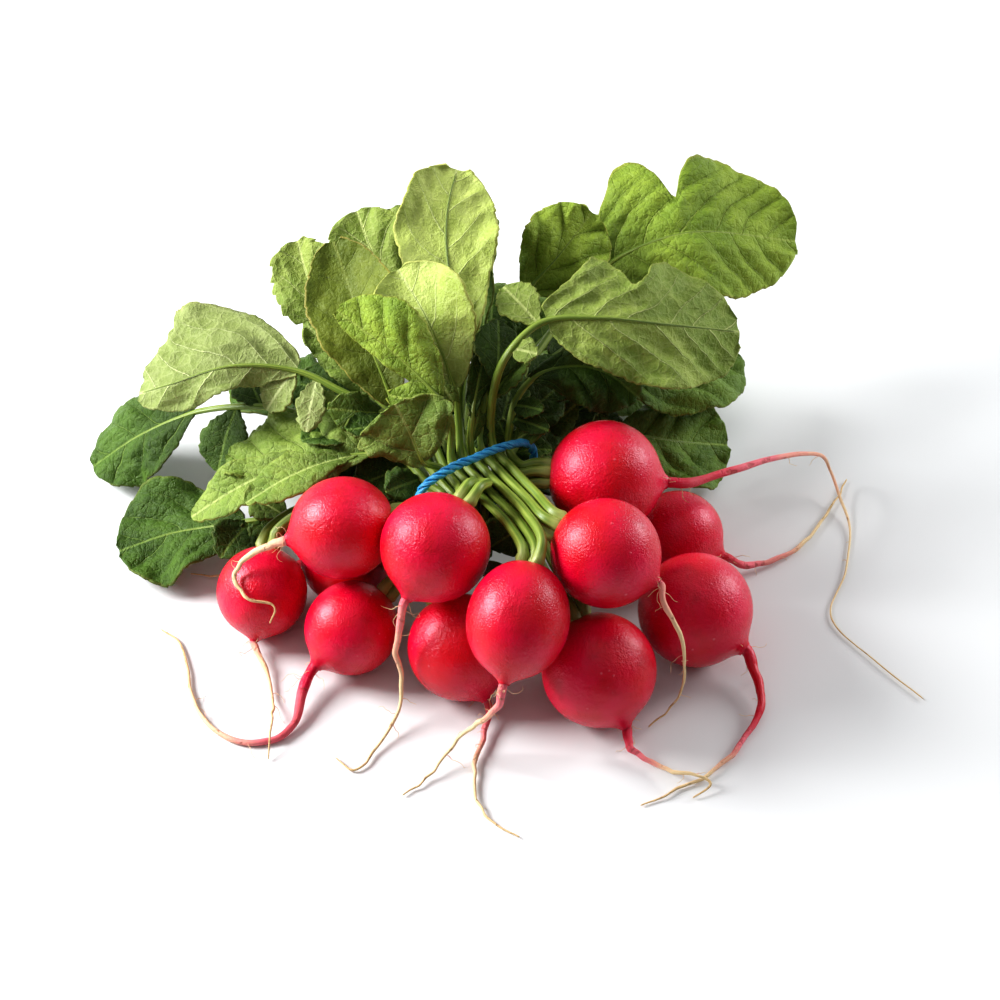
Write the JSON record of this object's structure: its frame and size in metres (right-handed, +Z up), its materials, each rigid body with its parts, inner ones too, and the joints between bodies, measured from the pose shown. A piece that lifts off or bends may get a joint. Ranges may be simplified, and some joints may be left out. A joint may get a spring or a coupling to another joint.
{
  "type": "bunch of radishes",
  "caption": "Tied bunch of round red radishes with their tails and leaves, lying on its side on a flat surface.",
  "frame": {"origin": "the flat spot under the middle radish of the bottom layer, where the bunch rests on the surface", "axes": "+Z up from the surface, +Y from the roots towards the leaf tips, +X to the right across the bunch"},
  "size_m": [0.2549, 0.213, 0.0929],
  "materials": {
    "radish_skin": "waxy red skin with a soft shine, paler pink to cream along the tail",
    "leaf_pale": "pale downy underside of a fresh leaf with raised veins",
    "leaf_green": "fresh leaf, soft sheen, pale sunken veins",
    "leaf_dark": "deep green upper side of a fresh leaf, crinkled, soft sheen",
    "tie": "blue twisted cord, slightly glossy, three strands"
  },
  "bodies": {
    "root": {"radish_01": "radish_skin", "radish_02": "radish_skin", "radish_03": "radish_skin", "radish_04": "radish_skin", "radish_05": "radish_skin", "radish_06": "radish_skin", "radish_07": "radish_skin", "radish_08": "radish_skin", "radish_09": "radish_skin", "radish_10": "radish_skin", "radish_11": "radish_skin", "radish_12": "radish_skin", "leaf_left_arched": "leaf_pale", "leaf_left_lobed": "leaf_dark", "leaf_left_floor": "leaf_dark", "leaf_left_light": "leaf_pale", "leaf_left_toothed": "leaf_green", "leaf_olive": "leaf_green", "leaf_behind_olive": "leaf_green", "leaf_tallest": "leaf_pale", "leaf_back_peak": "leaf_green", "leaf_edge_on": "leaf_green", "leaf_cupped": "leaf_green", "leaf_folded": "leaf_pale", "leaf_by_tie": "leaf_dark", "leaf_right_large": "leaf_green", "leaf_right_pale": "leaf_pale", "leaf_right_back": "leaf_dark", "leaf_right_under": "leaf_dark", "leaf_right_low": "leaf_dark", "leaf_right_shaded": "leaf_green", "leaf_right_drooping": "leaf_green", "leaf_left_small": "leaf_pale", "leaf_left_crinkled": "leaf_dark", "leaf_left_inner": "leaf_dark", "leaf_back_left_low": "leaf_dark", "leaf_back_low_a": "leaf_dark", "leaf_back_low_b": "leaf_dark", "leaf_back_low_c": "leaf_green", "leaf_back_right_low": "leaf_green", "leaf_back_mid_a": "leaf_green", "leaf_back_mid_b": "leaf_green", "leaf_back_mid_c": "leaf_green", "leaf_centre_back": "leaf_dark", "leaf_right_inner": "leaf_dark", "leaf_young_centre": "leaf_pale", "leaf_young_tie": "leaf_pale", "tie": "tie"}
  },
  "joints": []
}
